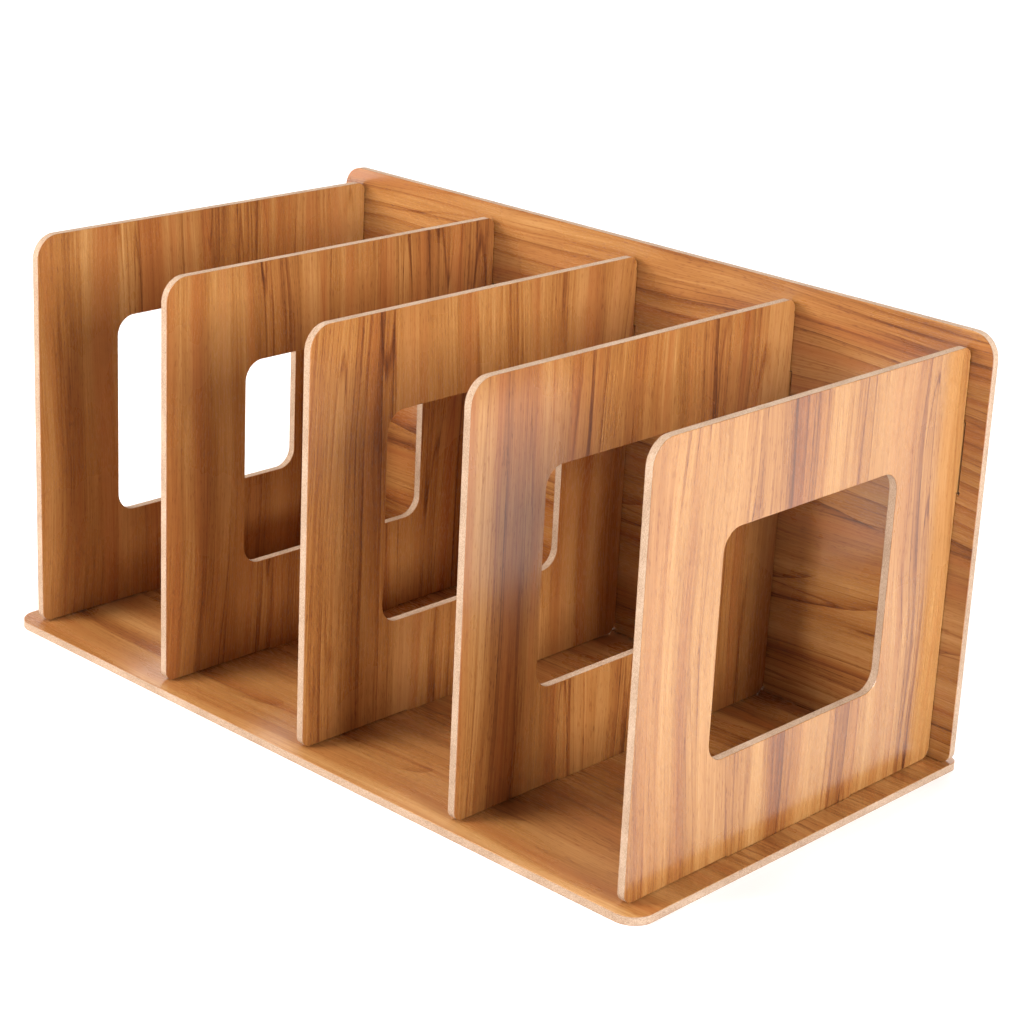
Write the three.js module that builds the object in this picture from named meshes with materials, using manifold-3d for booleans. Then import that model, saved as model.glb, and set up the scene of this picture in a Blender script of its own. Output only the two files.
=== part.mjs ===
// Desktop file sorter: thin laminated fibreboard panels that push together without tools.
// A base board carries a row of upright dividers and a back panel. Each divider has one
// tab down into the base and one tab back into the back panel; the back panel has two
// tabs down into the base. Every divider has a large rounded window.
//
// Millimetres. +X runs along the row of dividers, +Y from the open front to the back
// panel, +Z up. The origin is under the middle of the base board, on its underside.
import * as THREE from 'three';
import { mergeVertices } from 'three/addons/utils/BufferGeometryUtils.js';
import Module from 'manifold-3d';

const wasm = await Module();
wasm.setup();

// ---- driving dimensions ----
const BOARD = 3.2;               // panel thickness, film on both faces included
const GAP = 0.3;                 // clearance wherever two panels meet
const WIDTH = 320;               // base board and back panel, along X
const DEPTH = 175;               // base board, along Y
const PANEL_TOP = 160.9;         // top edge of the back panel
const DIVIDER_TOP = 155.7;       // top edges of the dividers
const FRONT_SETBACK = 4.6;       // base front edge to the dividers' front edges
const REAR_MARGIN = 3.6;         // base board left showing behind the back panel
const END_INSET = 8.7;           // base end to the outer face of an end divider
const WINDOW_BAND = 36.5;        // board left in front of, behind and above a window
const WINDOW_SILL = 37;          // base board's top to the lower edge of a window
const WINDOW_RADIUS = 7.5;
const LARGE_RADIUS = 9;          // corners a hand meets first
const SMALL_RADIUS = 4;          // corners at the rear and at the base
const BASE_FRONT_RADIUS = 8.5;

// tabs, each given by where it starts and how long it is
const FLOOR_TAB_START = 50.3;    // from a divider's front edge
const FLOOR_TAB_LENGTH = 66.9;
const WALL_TAB_START = 99.9;     // above the base board's top
const WALL_TAB_LENGTH = 25.4;
const FOOT_TAB_LENGTH = 40;      // back panel's tabs, one in each end compartment

const DIVIDER_NAMES = [
  'left_end_divider',
  'left_divider',
  'centre_divider',
  'right_divider',
  'right_end_divider',
];
const ARC_STEPS = 6;             // sets how finely rounded corners are drawn
const CUT_OVERRUN = 1;           // a cutting block stands this far out of both faces

// ---- places worked out from the dimensions above ----
const pitch = (WIDTH - 2 * END_INSET - BOARD) / (DIVIDER_NAMES.length - 1);
const dividerX = DIVIDER_NAMES.map((name, i) => (i - (DIVIDER_NAMES.length - 1) / 2) * pitch);
const front = -DEPTH / 2;
const rear = DEPTH / 2;
const panelRearY = rear - REAR_MARGIN;
const panelFrontY = panelRearY - BOARD;
const dividerFrontY = front + FRONT_SETBACK;
const dividerRearY = panelFrontY - GAP;
const uprightBottom = BOARD + GAP;
const tabBottom = GAP;           // tabs stop just inside the underside of the base
const footTabX = [-1.5 * pitch, 1.5 * pitch];

// ---- materials ----
function laminate(color) {
  return new THREE.MeshStandardMaterial({ color, roughness: 0.45, metalness: 0 });
}

// ---- outlines ----

// Traces a closed outline of right-angled corners [x, y, radius] on a Path or Shape.
function trace(path, corners) {
  corners.forEach(([x, y, radius], i) => {
    const corner = new THREE.Vector2(x, y);
    const before = corners[(i + corners.length - 1) % corners.length];
    const after = corners[(i + 1) % corners.length];
    const toBefore = new THREE.Vector2(before[0] - x, before[1] - y).normalize();
    const toAfter = new THREE.Vector2(after[0] - x, after[1] - y).normalize();
    if (radius > 0) {
      const start = corner.clone().addScaledVector(toBefore, radius);
      const end = corner.clone().addScaledVector(toAfter, radius);
      const centre = end.clone().addScaledVector(toBefore, radius);
      const from = Math.atan2(start.y - centre.y, start.x - centre.x);
      const to = Math.atan2(end.y - centre.y, end.x - centre.x);
      const clockwise = toAfter.cross(toBefore) < 0;
      path.absarc(centre.x, centre.y, radius, from, to, clockwise);
    } else if (i === 0) {
      path.moveTo(x, y);
    } else {
      path.lineTo(x, y);
    }
  });
  path.closePath();
  return path;
}

// ---- boards ----

// One board cut to an outline. Its thickness runs from 0 to BOARD along local Z.
function cutToOutline(outline) {
  const options = { depth: BOARD, bevelEnabled: false, curveSegments: ARC_STEPS };
  return new THREE.ExtrudeGeometry(outline, options);
}

// A block that cuts a slot, with clearance all round, for a tab in the given rectangle.
function slotBlock(x0, y0, x1, y1) {
  const width = x1 - x0 + 2 * GAP;
  const length = y1 - y0 + 2 * GAP;
  const block = new THREE.BoxGeometry(width, length, BOARD + 2 * CUT_OVERRUN);
  return block.translate((x0 + x1) / 2, (y0 + y1) / 2, BOARD / 2);
}

function toSolid(geometry) {
  const bare = geometry.clone();
  bare.deleteAttribute('normal');
  bare.deleteAttribute('uv');
  const merged = mergeVertices(bare);
  return new wasm.Manifold(new wasm.Mesh({
    numProp: 3,
    vertProperties: merged.attributes.position.array,
    triVerts: new Uint32Array(merged.index.array),
  }));
}

function subtractBlocks(geometry, blocks) {
  const cut = blocks.reduce((solid, block) => solid.subtract(toSolid(block)), toSolid(geometry));
  const { vertProperties, triVerts } = cut.getMesh();
  const result = new THREE.BufferGeometry();
  result.setAttribute('position', new THREE.BufferAttribute(vertProperties, 3));
  result.setIndex(new THREE.BufferAttribute(triVerts, 1));
  result.computeVertexNormals();
  return result;
}

function board(name, geometry, color) {
  const mesh = new THREE.Mesh(geometry, laminate(color));
  mesh.name = name;
  return mesh;
}

// ---- base board: lies flat, slots for every tab that comes down into it ----
function baseBoard() {
  const half = WIDTH / 2;
  const outline = trace(new THREE.Shape(), [
    [-half, front, BASE_FRONT_RADIUS],
    [half, front, BASE_FRONT_RADIUS],
    [half, rear, SMALL_RADIUS],
    [-half, rear, SMALL_RADIUS],
  ]);
  const tabFront = dividerFrontY + FLOOR_TAB_START;
  const dividerSlots = dividerX.map((x) =>
    slotBlock(x - BOARD / 2, tabFront, x + BOARD / 2, tabFront + FLOOR_TAB_LENGTH));
  const panelSlots = footTabX.map((x) =>
    slotBlock(x - FOOT_TAB_LENGTH / 2, panelFrontY, x + FOOT_TAB_LENGTH / 2, panelRearY));
  const slotted = subtractBlocks(cutToOutline(outline), [...dividerSlots, ...panelSlots]);
  return board('base_board', slotted, 0xb87a44);
}

// ---- back panel: stands near the rear edge, drawn in X and Z ----
function backPanel() {
  const half = WIDTH / 2;
  const halfTab = FOOT_TAB_LENGTH / 2;
  const footTabs = footTabX.flatMap((x) => [
    [x - halfTab, uprightBottom, 0],
    [x - halfTab, tabBottom, 0],
    [x + halfTab, tabBottom, 0],
    [x + halfTab, uprightBottom, 0],
  ]);
  const outline = trace(new THREE.Shape(), [
    [-half, uprightBottom, SMALL_RADIUS],
    ...footTabs,
    [half, uprightBottom, SMALL_RADIUS],
    [half, PANEL_TOP, LARGE_RADIUS],
    [-half, PANEL_TOP, LARGE_RADIUS],
  ]);
  const tabLow = BOARD + WALL_TAB_START;
  const wallSlots = dividerX.map((x) =>
    slotBlock(x - BOARD / 2, tabLow, x + BOARD / 2, tabLow + WALL_TAB_LENGTH));
  const slotted = subtractBlocks(cutToOutline(outline), wallSlots);
  const mesh = board('back_panel', slotted, 0xa9683a);
  mesh.rotation.x = Math.PI / 2;
  mesh.position.y = panelRearY;
  return mesh;
}

// ---- divider: drawn in Y and Z, centred on its own place along X ----
function divider(name, x) {
  const tabFront = dividerFrontY + FLOOR_TAB_START;
  const tabRear = tabFront + FLOOR_TAB_LENGTH;
  const tabLow = BOARD + WALL_TAB_START;
  const tabHigh = tabLow + WALL_TAB_LENGTH;
  const tabEndY = panelRearY - GAP;
  const outline = trace(new THREE.Shape(), [
    [dividerFrontY, uprightBottom, SMALL_RADIUS],
    [tabFront, uprightBottom, 0],
    [tabFront, tabBottom, 0],
    [tabRear, tabBottom, 0],
    [tabRear, uprightBottom, 0],
    [dividerRearY, uprightBottom, SMALL_RADIUS],
    [dividerRearY, tabLow, 0],
    [tabEndY, tabLow, 0],
    [tabEndY, tabHigh, 0],
    [dividerRearY, tabHigh, 0],
    [dividerRearY, DIVIDER_TOP, SMALL_RADIUS],
    [dividerFrontY, DIVIDER_TOP, LARGE_RADIUS],
  ]);
  const windowFront = dividerFrontY + WINDOW_BAND;
  const windowRear = panelFrontY - WINDOW_BAND;
  const windowLow = BOARD + WINDOW_SILL;
  const windowHigh = DIVIDER_TOP - WINDOW_BAND;
  outline.holes.push(trace(new THREE.Path(), [
    [windowFront, windowLow, WINDOW_RADIUS],
    [windowFront, windowHigh, WINDOW_RADIUS],
    [windowRear, windowHigh, WINDOW_RADIUS],
    [windowRear, windowLow, WINDOW_RADIUS],
  ]));
  const mesh = board(name, cutToOutline(outline), 0xc08a55);
  mesh.rotation.set(Math.PI / 2, Math.PI / 2, 0);
  mesh.position.x = x - BOARD / 2;
  return mesh;
}

// ---- assembly ----
const sorter = new THREE.Group();
sorter.add(baseBoard());
sorter.add(backPanel());
DIVIDER_NAMES.forEach((name, i) => {
  sorter.add(divider(name, dividerX[i]));
});

export default sorter;
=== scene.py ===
import math

import bmesh
import bpy
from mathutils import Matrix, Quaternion, Vector
from mathutils.geometry import tessellate_polygon


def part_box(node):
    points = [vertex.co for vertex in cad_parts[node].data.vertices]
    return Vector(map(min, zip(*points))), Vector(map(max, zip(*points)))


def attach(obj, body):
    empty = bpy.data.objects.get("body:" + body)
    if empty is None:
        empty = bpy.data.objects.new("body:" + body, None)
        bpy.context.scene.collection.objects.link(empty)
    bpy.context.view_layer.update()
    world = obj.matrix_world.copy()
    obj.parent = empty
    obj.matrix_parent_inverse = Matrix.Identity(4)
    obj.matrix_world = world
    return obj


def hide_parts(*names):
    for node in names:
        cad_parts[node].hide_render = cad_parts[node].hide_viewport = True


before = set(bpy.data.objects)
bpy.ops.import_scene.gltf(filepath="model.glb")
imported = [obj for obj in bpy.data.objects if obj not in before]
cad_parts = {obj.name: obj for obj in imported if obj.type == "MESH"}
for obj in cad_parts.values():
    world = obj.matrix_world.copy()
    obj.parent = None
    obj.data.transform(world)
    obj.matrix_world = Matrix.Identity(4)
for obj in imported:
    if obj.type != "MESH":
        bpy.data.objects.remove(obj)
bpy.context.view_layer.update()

MM = 0.001

# ---- the part's own dimensions, as in its CAD source ----
BOARD = 3.2
GAP = 0.3
WINDOW_BAND = 36.5
WINDOW_SILL = 37
WINDOW_RADIUS = 7.5
LARGE_RADIUS = 9
SMALL_RADIUS = 4
BASE_FRONT_RADIUS = 8.5
FLOOR_TAB_START = 50.3
FLOOR_TAB_LENGTH = 66.9
WALL_TAB_START = 99.9
WALL_TAB_LENGTH = 25.4
FOOT_TAB_LENGTH = 40
UPRIGHT_BOTTOM = BOARD + GAP

# ---- finish of the boards ----
ARRIS = 0.12                    # broken corner between a face and an edge
FILM_LINE = 0.26                # depth from a face down to bare fibreboard
ARC_STEPS = 20
LOOSE_SLOT = 0.25               # extra width of a wall slot on its right-hand side
NICK_DEPTH = 0.35               # tool mark on a divider's rear edge, under the top corner
NICK_LOW = 5.6                  # its lower and upper ends, below the divider's top
NICK_HIGH = 4.3
NICK_FLOOR_LOW = 5.15           # the ends of its flat floor
NICK_FLOOR_HIGH = 4.65
CHIP = 0.5                      # board chipped off at the lower end of a wall slot
SHARP_ANGLE = math.radians(25)  # faces that meet at more than this keep a sharp edge

DIVIDERS = ["left_end_divider", "left_divider", "centre_divider", "right_divider",
            "right_end_divider"]


def box_mm(node):
    low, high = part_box(node)
    return Vector(low) / MM, Vector(high) / MM


# ---------------------------------------------------------------- outlines

def rounded(corners):
    """Points of a closed outline given as right-angled corners (u, v, radius)."""
    points = []
    for i, (u, v, radius) in enumerate(corners):
        here = Vector((u, v))
        before = Vector(corners[i - 1][:2])
        after = Vector(corners[(i + 1) % len(corners)][:2])
        if not radius:
            points.append(here)
            continue
        to_before = (before - here).normalized()
        to_after = (after - here).normalized()
        centre = here + (to_before + to_after) * radius
        for step in range(ARC_STEPS + 1):
            turn = step / ARC_STEPS * math.pi / 2
            points.append(centre - to_after * radius * math.cos(turn)
                          - to_before * radius * math.sin(turn))
    return points


def area(points):
    return sum(a.cross(b) for a, b in zip(points, points[1:] + points[:1])) / 2


def directed(points, anticlockwise):
    return points if (area(points) > 0) == anticlockwise else points[::-1]


def inset(points, distance):
    """Moves a loop to its left by a distance, which is into the board for every loop here."""
    moved = []
    for i, here in enumerate(points):
        ahead = (points[(i + 1) % len(points)] - here).normalized()
        behind = (here - points[i - 1]).normalized()
        left = Vector((-ahead.y - behind.y, ahead.x + behind.x)) / 2
        moved.append(here + left * distance / left.length_squared)
    return moved


# ---------------------------------------------------------------- boards

FILM, LINE, CORE = range(3)     # material slots of every board


def build_board(name, node, outline, holes, place, materials):
    """A board with its thickness along w, from 0 to BOARD; place turns (u, v, w) into XYZ."""
    loops = [directed(outline, True)] + [directed(hole, False) for hole in holes]
    profile = [
        (ARRIS, 0, FILM),
        (0, ARRIS, LINE),
        (0, FILM_LINE, CORE),
        (0, BOARD - FILM_LINE, LINE),
        (0, BOARD - ARRIS, FILM),
        (ARRIS, BOARD, None),
    ]
    mesh = bpy.data.meshes.new(name)
    shape = bmesh.new()
    rings = []
    for distance, w, _ in profile:
        ring = []
        for loop in loops:
            points = inset(loop, distance) if distance else loop
            ring.append([shape.verts.new(place(p.x, p.y, w) * MM) for p in points])
        rings.append(ring)
    for level, (_, _, material) in enumerate(profile[:-1]):
        for low, high in zip(rings[level], rings[level + 1]):
            for i in range(len(low)):
                j = (i + 1) % len(low)
                side = shape.faces.new((low[i], low[j], high[j], high[i]))
                side.material_index = material
    flat = [[Vector((p.x, p.y, 0)) for p in inset(loop, ARRIS)] for loop in loops]
    for ring in (rings[0], rings[-1]):
        corners = [vert for loop in ring for vert in loop]
        for triangle in tessellate_polygon(flat):
            cap = shape.faces.new([corners[k] for k in triangle])
            cap.material_index = FILM
    bmesh.ops.recalc_face_normals(shape, faces=shape.faces)
    for face in shape.faces:
        face.smooth = True
    shape.to_mesh(mesh)
    shape.free()
    mesh.set_sharp_from_angle(angle=SHARP_ANGLE)
    for material in materials:
        mesh.materials.append(material)
    piece = bpy.data.objects.new(name, mesh)
    bpy.context.collection.objects.link(piece)
    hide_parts(node)
    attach(piece, "root")


def rectangle(u0, v0, u1, v1):
    return [Vector((u0, v0)), Vector((u1, v0)), Vector((u1, v1)), Vector((u0, v1))]


def around(u0, v0, u1, v1):
    return rectangle(u0 - GAP, v0 - GAP, u1 + GAP, v1 + GAP)


def divider_middles():
    """The X of each divider's middle, from left to right."""
    return [sum(corner.x for corner in box_mm(name)) / 2 for name in DIVIDERS]


def foot_tab_middles():
    """The back panel's two foot tabs stand in the middle of the two end compartments."""
    middles = divider_middles()
    return [(middles[0] + middles[1]) / 2, (middles[-2] + middles[-1]) / 2]


def build_divider(name, materials):
    low, high = box_mm(name)
    panel_low, _ = box_mm("back_panel")
    front = low.y
    rear = panel_low.y - GAP
    top = high.z
    tab_front = front + FLOOR_TAB_START
    tab_rear = tab_front + FLOOR_TAB_LENGTH
    tab_low = BOARD + WALL_TAB_START
    tab_high = tab_low + WALL_TAB_LENGTH
    outline = rounded([
        (front, UPRIGHT_BOTTOM, SMALL_RADIUS),
        (tab_front, UPRIGHT_BOTTOM, 0),
        (tab_front, low.z, 0),
        (tab_rear, low.z, 0),
        (tab_rear, UPRIGHT_BOTTOM, 0),
        (rear, UPRIGHT_BOTTOM, SMALL_RADIUS),
        (rear, tab_low, 0),
        (high.y, tab_low, 0),
        (high.y, tab_high, 0),
        (rear, tab_high, 0),
        (rear, top - NICK_LOW, 0),
        (rear - NICK_DEPTH, top - NICK_FLOOR_LOW, 0),
        (rear - NICK_DEPTH, top - NICK_FLOOR_HIGH, 0),
        (rear, top - NICK_HIGH, 0),
        (rear, top, SMALL_RADIUS),
        (front, top, LARGE_RADIUS),
    ])
    window = rounded([
        (front + WINDOW_BAND, BOARD + WINDOW_SILL, WINDOW_RADIUS),
        (panel_low.y - WINDOW_BAND, BOARD + WINDOW_SILL, WINDOW_RADIUS),
        (panel_low.y - WINDOW_BAND, top - WINDOW_BAND, WINDOW_RADIUS),
        (front + WINDOW_BAND, top - WINDOW_BAND, WINDOW_RADIUS),
    ])

    def place(u, v, w):
        return Vector((low.x + w, u, v))

    build_board(name + "_board", name, outline, [window], place, materials)


def build_back_panel(materials):
    low, high = box_mm("back_panel")
    corners = [(low.x, UPRIGHT_BOTTOM, SMALL_RADIUS)]
    for middle in foot_tab_middles():
        for side, v in ((-1, UPRIGHT_BOTTOM), (-1, low.z), (1, low.z), (1, UPRIGHT_BOTTOM)):
            corners.append((middle + side * FOOT_TAB_LENGTH / 2, v, 0))
    corners += [
        (high.x, UPRIGHT_BOTTOM, SMALL_RADIUS),
        (high.x, high.z, LARGE_RADIUS),
        (low.x, high.z, LARGE_RADIUS),
    ]
    slots = []
    for middle in divider_middles():
        u0 = middle - BOARD / 2 - GAP
        u1 = middle + BOARD / 2 + GAP + LOOSE_SLOT
        v0 = BOARD + WALL_TAB_START - GAP
        v1 = v0 + WALL_TAB_LENGTH + 2 * GAP
        slots.append([Vector(corner) for corner in (
            (u0, v0),
            (u1 - CHIP, v0),
            (u1 + CHIP / 2, v0 - CHIP),
            (u1 + CHIP, v0 + CHIP),
            (u1, v0 + 2 * CHIP),
            (u1, v1),
            (u0, v1),
        )])

    def place(u, v, w):
        return Vector((u, low.y + w, v))

    build_board("back_panel_board", "back_panel", rounded(corners), slots, place, materials)


def build_base(materials):
    low, high = box_mm("base_board")
    panel_low, panel_high = box_mm("back_panel")
    outline = rounded([
        (low.x, low.y, BASE_FRONT_RADIUS),
        (high.x, low.y, BASE_FRONT_RADIUS),
        (high.x, high.y, SMALL_RADIUS),
        (low.x, high.y, SMALL_RADIUS),
    ])
    slots = []
    for name in DIVIDERS:
        node_low, node_high = box_mm(name)
        tab_front = node_low.y + FLOOR_TAB_START
        slots.append(around(node_low.x, tab_front, node_high.x, tab_front + FLOOR_TAB_LENGTH))
    for middle in foot_tab_middles():
        slots.append(around(middle - FOOT_TAB_LENGTH / 2, panel_low.y,
                            middle + FOOT_TAB_LENGTH / 2, panel_high.y))

    def place(u, v, w):
        return Vector((u, v, w))

    build_board("base_board_board", "base_board", outline, slots, place, materials)


# ---------------------------------------------------------------- materials

class Surface:
    """One material's node tree, with short ways to add the nodes used here."""

    def __init__(self, name):
        self.material = bpy.data.materials.new(name)
        self.material.use_nodes = True
        self.tree = self.material.node_tree
        self.shader = self.tree.nodes["Principled BSDF"]

    def node(self, kind, **settings):
        node = self.tree.nodes.new(kind)
        for key, value in settings.items():
            setattr(node, key, value)
        return node

    def put(self, socket, value):
        if isinstance(value, bpy.types.NodeSocket):
            self.tree.links.new(value, socket)
        else:
            socket.default_value = value

    def math(self, operation, a, b=0.0, clamp=False):
        node = self.node("ShaderNodeMath", operation=operation, use_clamp=clamp)
        self.put(node.inputs[0], a)
        self.put(node.inputs[1], b)
        return node.outputs[0]

    def add(self, a, b):
        return self.math("ADD", a, b)

    def sub(self, a, b):
        return self.math("SUBTRACT", a, b)

    def mul(self, a, b):
        return self.math("MULTIPLY", a, b)

    def vector(self, x, y, z):
        node = self.node("ShaderNodeCombineXYZ")
        for socket, value in zip(node.inputs, (x, y, z)):
            self.put(socket, value)
        return node.outputs[0]

    def millimetres(self):
        """The object's own X, Y and Z in millimetres."""
        place = self.node("ShaderNodeTexCoord").outputs["Object"]
        scaled = self.node("ShaderNodeVectorMath", operation="SCALE")
        self.put(scaled.inputs[0], place)
        scaled.inputs["Scale"].default_value = 1 / MM
        parts = self.node("ShaderNodeSeparateXYZ")
        self.put(parts.inputs[0], scaled.outputs[0])
        return list(parts.outputs)

    def noise(self, vector, detail=2.0, roughness=0.5, scale=1.0):
        """Smooth noise from 0 to 1, with a mean of about a half."""
        node = self.node("ShaderNodeTexNoise")
        self.put(node.inputs["Vector"], vector)
        node.inputs["Scale"].default_value = scale
        node.inputs["Detail"].default_value = detail
        node.inputs["Roughness"].default_value = roughness
        return node.outputs[0]

    def swing(self, vector, amount, detail=2.0, roughness=0.5):
        """The same noise about zero, from -amount to amount."""
        return self.mul(self.sub(self.noise(vector, detail, roughness), 0.5), 2 * amount)

    def span(self, value, low, high, to_low=0.0, to_high=1.0):
        node = self.node("ShaderNodeMapRange", interpolation_type="SMOOTHSTEP")
        self.put(node.inputs["Value"], value)
        node.inputs["From Min"].default_value = low
        node.inputs["From Max"].default_value = high
        node.inputs["To Min"].default_value = to_low
        node.inputs["To Max"].default_value = to_high
        return node.outputs[0]

    def ramp(self, value, stops):
        node = self.node("ShaderNodeValToRGB")
        self.put(node.inputs[0], value)
        elements = node.color_ramp.elements
        while len(elements) < len(stops):
            elements.new(0.5)
        for element, (position, colour) in zip(elements, stops):
            element.position = position
            element.color = (*colour, 1)
        return node.outputs[0]

    def mix(self, factor, a, b):
        node = self.node("ShaderNodeMix", data_type="RGBA")
        self.put(node.inputs["Factor"], factor)
        for socket, value in zip((node.inputs[6], node.inputs[7]), (a, b)):
            self.put(socket, (*value, 1) if isinstance(value, tuple) else value)
        return node.outputs[2]

    def bump(self, height, strength, distance):
        node = self.node("ShaderNodeBump")
        node.inputs["Strength"].default_value = strength
        node.inputs["Distance"].default_value = distance * MM
        self.put(node.inputs["Height"], height)
        self.put(self.shader.inputs["Normal"], node.outputs[0])


X, Y, Z = range(3)

# Albedo of the printed film, dark growth line to pale early wood.
FILM_STOPS = [
    (0.04, (0.080, 0.022, 0.008)),
    (0.27, (0.200, 0.062, 0.016)),
    (0.50, (0.345, 0.142, 0.037)),
    (0.73, (0.455, 0.222, 0.072)),
    (0.96, (0.560, 0.315, 0.125)),
]
REDDER = (0.345, 0.108, 0.028)

# How far each layer of the print moves along that scale.
MEAN_TONE = 0.54
BROAD_SWING = 0.95
MEDIUM_SWING = 0.44
FINE_SWING = 0.48
THIN_LINE_DEPTH = 0.24
TICK_DEPTH = 0.16

GROWTH_SPACING = 5.2            # between growth lines
CONTOURS = 11                   # thin dark lines for each full swing of the noise they follow
SMOOTHEST = 0.24                # roughness of the film, and how much pore ticks add to it
ROUGHEST = 0.30
TICK_ROUGHNESS = 0.12


def wood_film(name, across, along, through, seed, tone=0.0, gain=1.0, heart=(-160, 0), slope=0.0,
              rings=0.27, red=0.55):
    """Printed wood: long streaks, growth lines about a heart, fine dark lines and pore ticks.

    across, along and through are the board's axes. seed picks the print, tone lightens it and
    gain brightens it. heart is where the growth lines close, and slope is how much they curve.
    rings and red are how strong the growth lines and the redder streaks are.
    """
    s = Surface(name)
    place = s.millimetres()
    a, l, w = place[across], place[along], place[through]
    layer = s.add(s.mul(w, 3.0), 17.3 * seed)

    def streak(width, length, shift):
        """Place in noise that is drawn out along the grain; shift sets the layers apart."""
        return s.vector(s.mul(warped, 1 / width), s.mul(l, 1 / length), s.add(layer, shift))

    drift = s.swing(s.vector(s.mul(a, 1 / 60), s.mul(l, 1 / 210), layer), 11, detail=1)
    wobble = s.swing(s.vector(s.mul(a, 1 / 9), s.mul(l, 1 / 48), s.add(layer, 5)), 0.9, detail=2)
    warped = s.add(s.add(a, drift), wobble)

    from_heart_a = s.sub(warped, heart[0])
    from_heart_l = s.mul(s.sub(l, heart[1]), slope)
    radius = s.math("SQRT", s.add(s.mul(from_heart_a, from_heart_a),
                                  s.mul(from_heart_l, from_heart_l)))
    spacing = s.swing(s.vector(s.mul(radius, 1 / 21), s.mul(l, 1 / 500), layer), 1.3, detail=1)
    ring = s.math("FRACT", s.add(s.mul(radius, 1 / GROWTH_SPACING), spacing))
    late = s.math("POWER", ring, 4.0)

    broad = s.noise(streak(width=13, length=280, shift=11), detail=1)
    medium = s.noise(streak(width=2.6, length=130, shift=23), detail=3, roughness=0.7)
    fine = s.noise(streak(width=0.55, length=34, shift=37), detail=1)
    ticks = s.noise(s.vector(s.mul(warped, 1 / 0.42), s.mul(l, 1 / 3.6), layer), detail=1)
    patch = s.span(s.noise(streak(width=15, length=330, shift=51), detail=1), 0.40, 0.60)

    level = s.noise(streak(width=17, length=420, shift=63), detail=1, roughness=0.4)
    contour = s.math("FRACT", s.mul(level, CONTOURS))
    thin = s.span(s.math("ABSOLUTE", s.sub(contour, 0.5)), 0.0, 0.09, 1.0, 0.0)

    value = s.add(MEAN_TONE + tone, s.mul(s.sub(broad, 0.5), BROAD_SWING))
    value = s.add(value, s.mul(s.sub(medium, 0.5), MEDIUM_SWING))
    value = s.add(value, s.mul(s.sub(fine, 0.5), FINE_SWING))
    value = s.sub(value, s.mul(s.mul(late, patch), rings))
    value = s.sub(value, s.mul(s.mul(thin, patch), THIN_LINE_DEPTH))
    value = s.sub(value, s.mul(s.span(ticks, 0.57, 0.72), TICK_DEPTH))
    value = s.math("MAXIMUM", value, 0.0)

    stops = [(at, tuple(channel * gain for channel in colour)) for at, colour in FILM_STOPS]
    colour = s.ramp(value, stops)
    blush = s.span(s.noise(streak(width=7, length=240, shift=77), detail=2), 0.42, 0.70, 0.0, red)
    s.put(s.shader.inputs["Base Color"], s.mix(blush, colour, REDDER))

    smear = s.noise(s.vector(s.mul(a, 1 / 33), s.mul(l, 1 / 57), layer), detail=3)
    satin = s.span(smear, 0.3, 0.7, SMOOTHEST, ROUGHEST)
    rough = s.add(satin, s.mul(s.span(ticks, 0.5, 0.75), TICK_ROUGHNESS))
    s.put(s.shader.inputs["Roughness"], rough)
    s.shader.inputs["IOR"].default_value = 1.5
    s.shader.inputs["Coat Weight"].default_value = 0.5
    s.shader.inputs["Coat Roughness"].default_value = 0.21
    s.shader.inputs["Coat IOR"].default_value = 1.6
    relief = s.sub(s.mul(fine, 0.4), s.span(ticks, 0.55, 0.78))
    s.bump(relief, 0.25, 0.03)
    return s.material


def bare_fibreboard(name, through):
    """Sawn fibreboard: cream, pressed in layers, with fine darker fibres."""
    s = Surface(name)
    place = s.millimetres()
    others = [axis for axis in (X, Y, Z) if axis != through]
    w, p, q = place[through], place[others[0]], place[others[1]]

    def at(width, length, shift=0.0):
        return s.vector(s.add(s.mul(w, 1 / width), shift), s.mul(p, 1 / length),
                        s.mul(q, 1 / length))

    fibres = s.noise(at(0.16, 0.9), detail=3, roughness=0.65)
    grit = s.noise(at(0.22, 0.22, 9.0), detail=2, roughness=0.7)
    cloud = s.noise(at(6, 14, 4.0), detail=2)
    value = s.add(s.mul(fibres, 0.45), s.add(s.mul(grit, 0.4), s.mul(cloud, 0.15)))
    colour = s.ramp(value, [
        (0.36, (0.170, 0.098, 0.060)),
        (0.44, (0.330, 0.212, 0.138)),
        (0.52, (0.450, 0.315, 0.220)),
        (0.62, (0.600, 0.455, 0.345)),
    ])
    specks = s.span(s.noise(at(0.30, 0.55, 21.0), detail=1), 0.68, 0.76)
    s.put(s.shader.inputs["Base Color"], s.mix(s.mul(specks, 0.6), colour, (0.13, 0.07, 0.04)))
    s.put(s.shader.inputs["Roughness"], s.span(grit, 0.3, 0.7, 0.78, 0.95))
    s.shader.inputs["Specular IOR Level"].default_value = 0.3
    s.bump(value, 0.5, 0.05)
    return s.material


def film_line(name):
    """The cut edge of the film and its glue: a thin line, darker than the bare board."""
    s = Surface(name)
    x, y, z = s.millimetres()
    worn = s.noise(s.vector(s.mul(x, 1 / 1.6), s.mul(y, 1 / 1.6), s.mul(z, 1 / 1.6)), detail=3)
    colour = s.ramp(worn, [
        (0.35, (0.20, 0.095, 0.040)),
        (0.55, (0.31, 0.170, 0.085)),
        (0.70, (0.45, 0.290, 0.185)),
    ])
    s.put(s.shader.inputs["Base Color"], colour)
    s.put(s.shader.inputs["Roughness"], s.span(worn, 0.3, 0.7, 0.45, 0.65))
    return s.material


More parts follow.
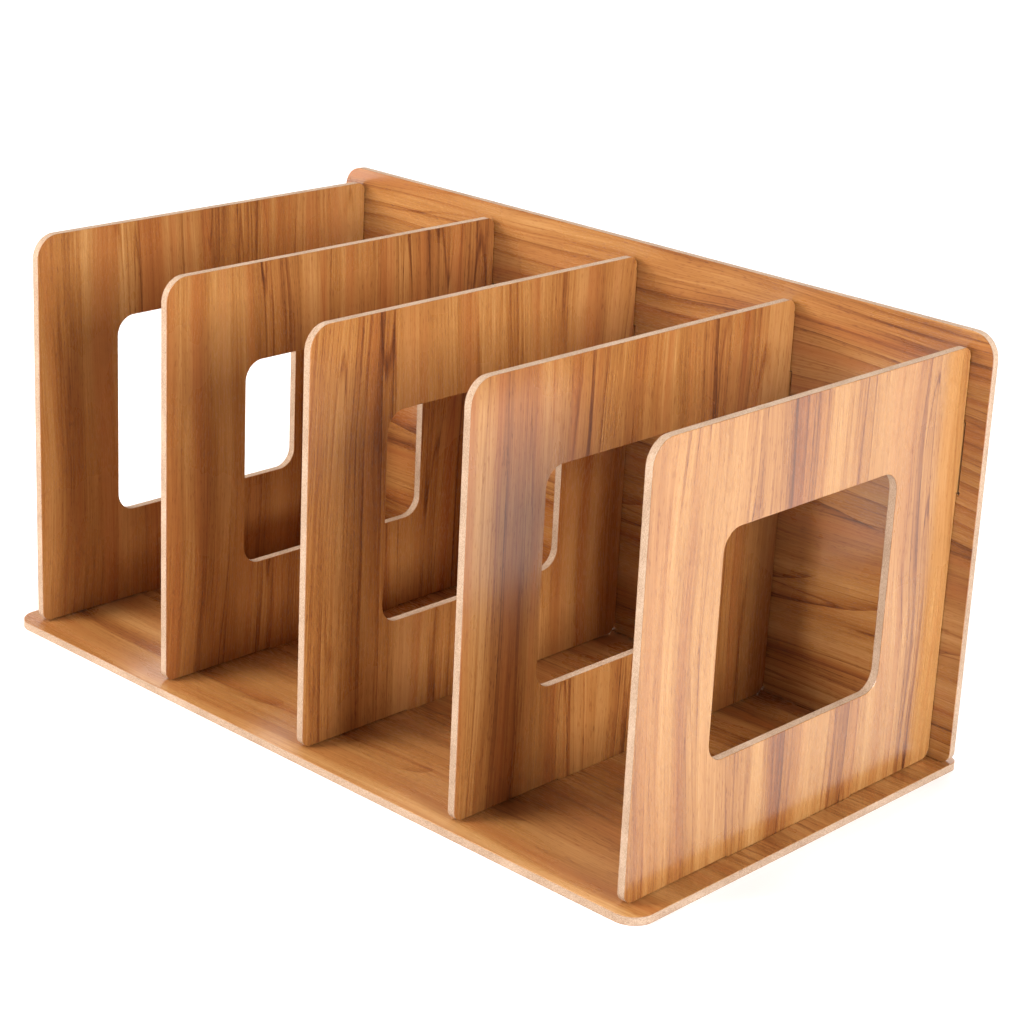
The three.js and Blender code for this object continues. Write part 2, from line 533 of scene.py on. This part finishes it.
def pale_floor():
    """A white table lit softly from below, more so away from the object, so it has no horizon."""
    s = Surface("studio_floor")
    x, y, z = s.millimetres()
    cloud = s.noise(s.vector(s.mul(x, 1 / 400), s.mul(y, 1 / 400), z), detail=3)
    s.put(s.shader.inputs["Base Color"], s.ramp(cloud, [
        (0.3, (0.86, 0.86, 0.87)),
        (0.7, (0.90, 0.90, 0.91)),
    ]))
    s.put(s.shader.inputs["Roughness"], s.span(cloud, 0.3, 0.7, 0.75, 0.85))
    s.shader.inputs["Emission Color"].default_value = (1, 1, 1, 1)
    away = s.math("SQRT", s.add(s.mul(x, x), s.mul(y, y)))
    glow = s.span(away, GLOW_FROM, GLOW_TO, GLOW_NEAR, GLOW_FAR)
    s.put(s.shader.inputs["Emission Strength"], glow)
    return s.material


# ---------------------------------------------------------------- the object

line = film_line("film_cut_edge")
core_of_dividers = bare_fibreboard("divider_fibreboard", X)

DIVIDER_GRAIN = {
    "left_end_divider": dict(seed=1, tone=0.02),
    "left_divider": dict(seed=2, tone=-0.07),
    "centre_divider": dict(seed=3, tone=0.06, gain=1.05),
    "right_divider": dict(seed=4, tone=0.02),
    "right_end_divider": dict(seed=5, tone=0.03, gain=0.94, red=0.22),
}
for divider, grain in DIVIDER_GRAIN.items():
    film = wood_film(divider + "_film", Y, Z, X, **grain)
    build_divider(divider, [film, line, core_of_dividers])

back_film = wood_film("back_panel_film", Z, X, Y, seed=6, tone=0.02, heart=(60, -40), slope=0.10,
                      rings=0.34)
build_back_panel([back_film, line, bare_fibreboard("back_panel_fibreboard", Y)])

base_film = wood_film("base_board_film", Y, X, Z, seed=7, tone=0.10, gain=1.05,
                      heart=(-62, -120), slope=0.12, rings=0.24)
build_base([base_film, line, bare_fibreboard("base_board_fibreboard", Z)])


# ---------------------------------------------------------------- studio

FLOOR_HALF = 40000              # half the table's side, so that its edge is never seen
GLOW_FROM = 900                 # distance from the object where the table starts to glow more
GLOW_TO = 2200                  # distance where it glows its most
GLOW_NEAR = 0.24
GLOW_FAR = 0.95
LIGHT_DISTANCE = 1500
SOFT_BOX = 600                  # side of each square soft box
BACKDROP_BOX = 2600


def build_floor():
    mesh = bpy.data.meshes.new("studio_floor")
    half = FLOOR_HALF * MM
    mesh.from_pydata([(-half, -half, 0), (half, -half, 0), (half, half, 0), (-half, half, 0)],
                     [], [(0, 1, 2, 3)])
    mesh.materials.append(pale_floor())
    floor = bpy.data.objects.new("studio_floor", mesh)
    bpy.context.collection.objects.link(floor)


def soft_box(name, azimuth, elevation, side, power, colour=(1, 1, 1), aim=(0, 0, 80)):
    """A square light that looks at aim. Azimuth 0 is in front of the object, 90 right."""
    a, e = math.radians(azimuth), math.radians(elevation)
    out = Vector((math.sin(a) * math.cos(e), -math.cos(a) * math.cos(e), math.sin(e)))
    light = bpy.data.lights.new(name, "AREA")
    light.shape = "SQUARE"
    light.size = side * MM
    light.energy = power
    light.color = colour
    lamp = bpy.data.objects.new(name, light)
    lamp.location = (Vector(aim) + out * LIGHT_DISTANCE) * MM
    lamp.rotation_mode = "QUATERNION"
    lamp.rotation_quaternion = (-out).to_track_quat("-Z", "Y")
    lamp.visible_camera = False
    bpy.context.collection.objects.link(lamp)


WARM = (1.0, 0.94, 0.87)
build_floor()
soft_box("key_from_right", 83, 22, SOFT_BOX, 26.5)
soft_box("fill_from_front_left", -30, 22, SOFT_BOX, 25, colour=WARM)
soft_box("high_fill", -30, 62, SOFT_BOX, 10, colour=WARM)
soft_box("backdrop_light", 0, 90, BACKDROP_BOX, 55, aim=(-1300, 1700, 0))

# White air near the horizon, almost dark overhead, so the floor has no edge to be seen.
world = bpy.data.worlds.new("studio_air")
world.use_nodes = True
background = world.node_tree.nodes["Background"]
background.inputs["Color"].default_value = (1.0, 1.0, 1.0, 1)
direction = world.node_tree.nodes.new("ShaderNodeTexCoord")
parts = world.node_tree.nodes.new("ShaderNodeSeparateXYZ")
fade = world.node_tree.nodes.new("ShaderNodeMapRange")
world.node_tree.links.new(direction.outputs["Generated"], parts.inputs[0])
world.node_tree.links.new(parts.outputs[2], fade.inputs["Value"])
for key, value in (("From Min", 0.08), ("From Max", 0.30), ("To Min", 1.0), ("To Max", 0.04)):
    fade.inputs[key].default_value = value
world.node_tree.links.new(fade.outputs[0], background.inputs["Strength"])
bpy.context.scene.world = world

# ---------------------------------------------------------------- camera

camera_data = bpy.data.cameras.new("camera")
camera_data.sensor_width = 36   # this and the lens are millimetres of a real camera
camera_data.lens = 88.42
camera_data.shift_x = -0.0452
camera_data.shift_y = -0.0461
camera = bpy.data.objects.new("camera", camera_data)
camera.location = Vector((595.2, -618.5, 383.4)) * MM
azimuth, elevation, roll = (math.radians(angle) for angle in (41.94, 18.79, 3.12))
looking = -Vector((math.sin(azimuth) * math.cos(elevation),
                   -math.cos(azimuth) * math.cos(elevation), math.sin(elevation)))
camera.rotation_mode = "QUATERNION"
camera.rotation_quaternion = looking.to_track_quat("-Z", "Y") @ Quaternion((0, 0, 1), roll)
camera_data.clip_start = 10 * MM
camera_data.clip_end = 100000 * MM
bpy.context.collection.objects.link(camera)
bpy.context.scene.camera = camera
bpy.context.scene.view_settings.view_transform = "Standard"
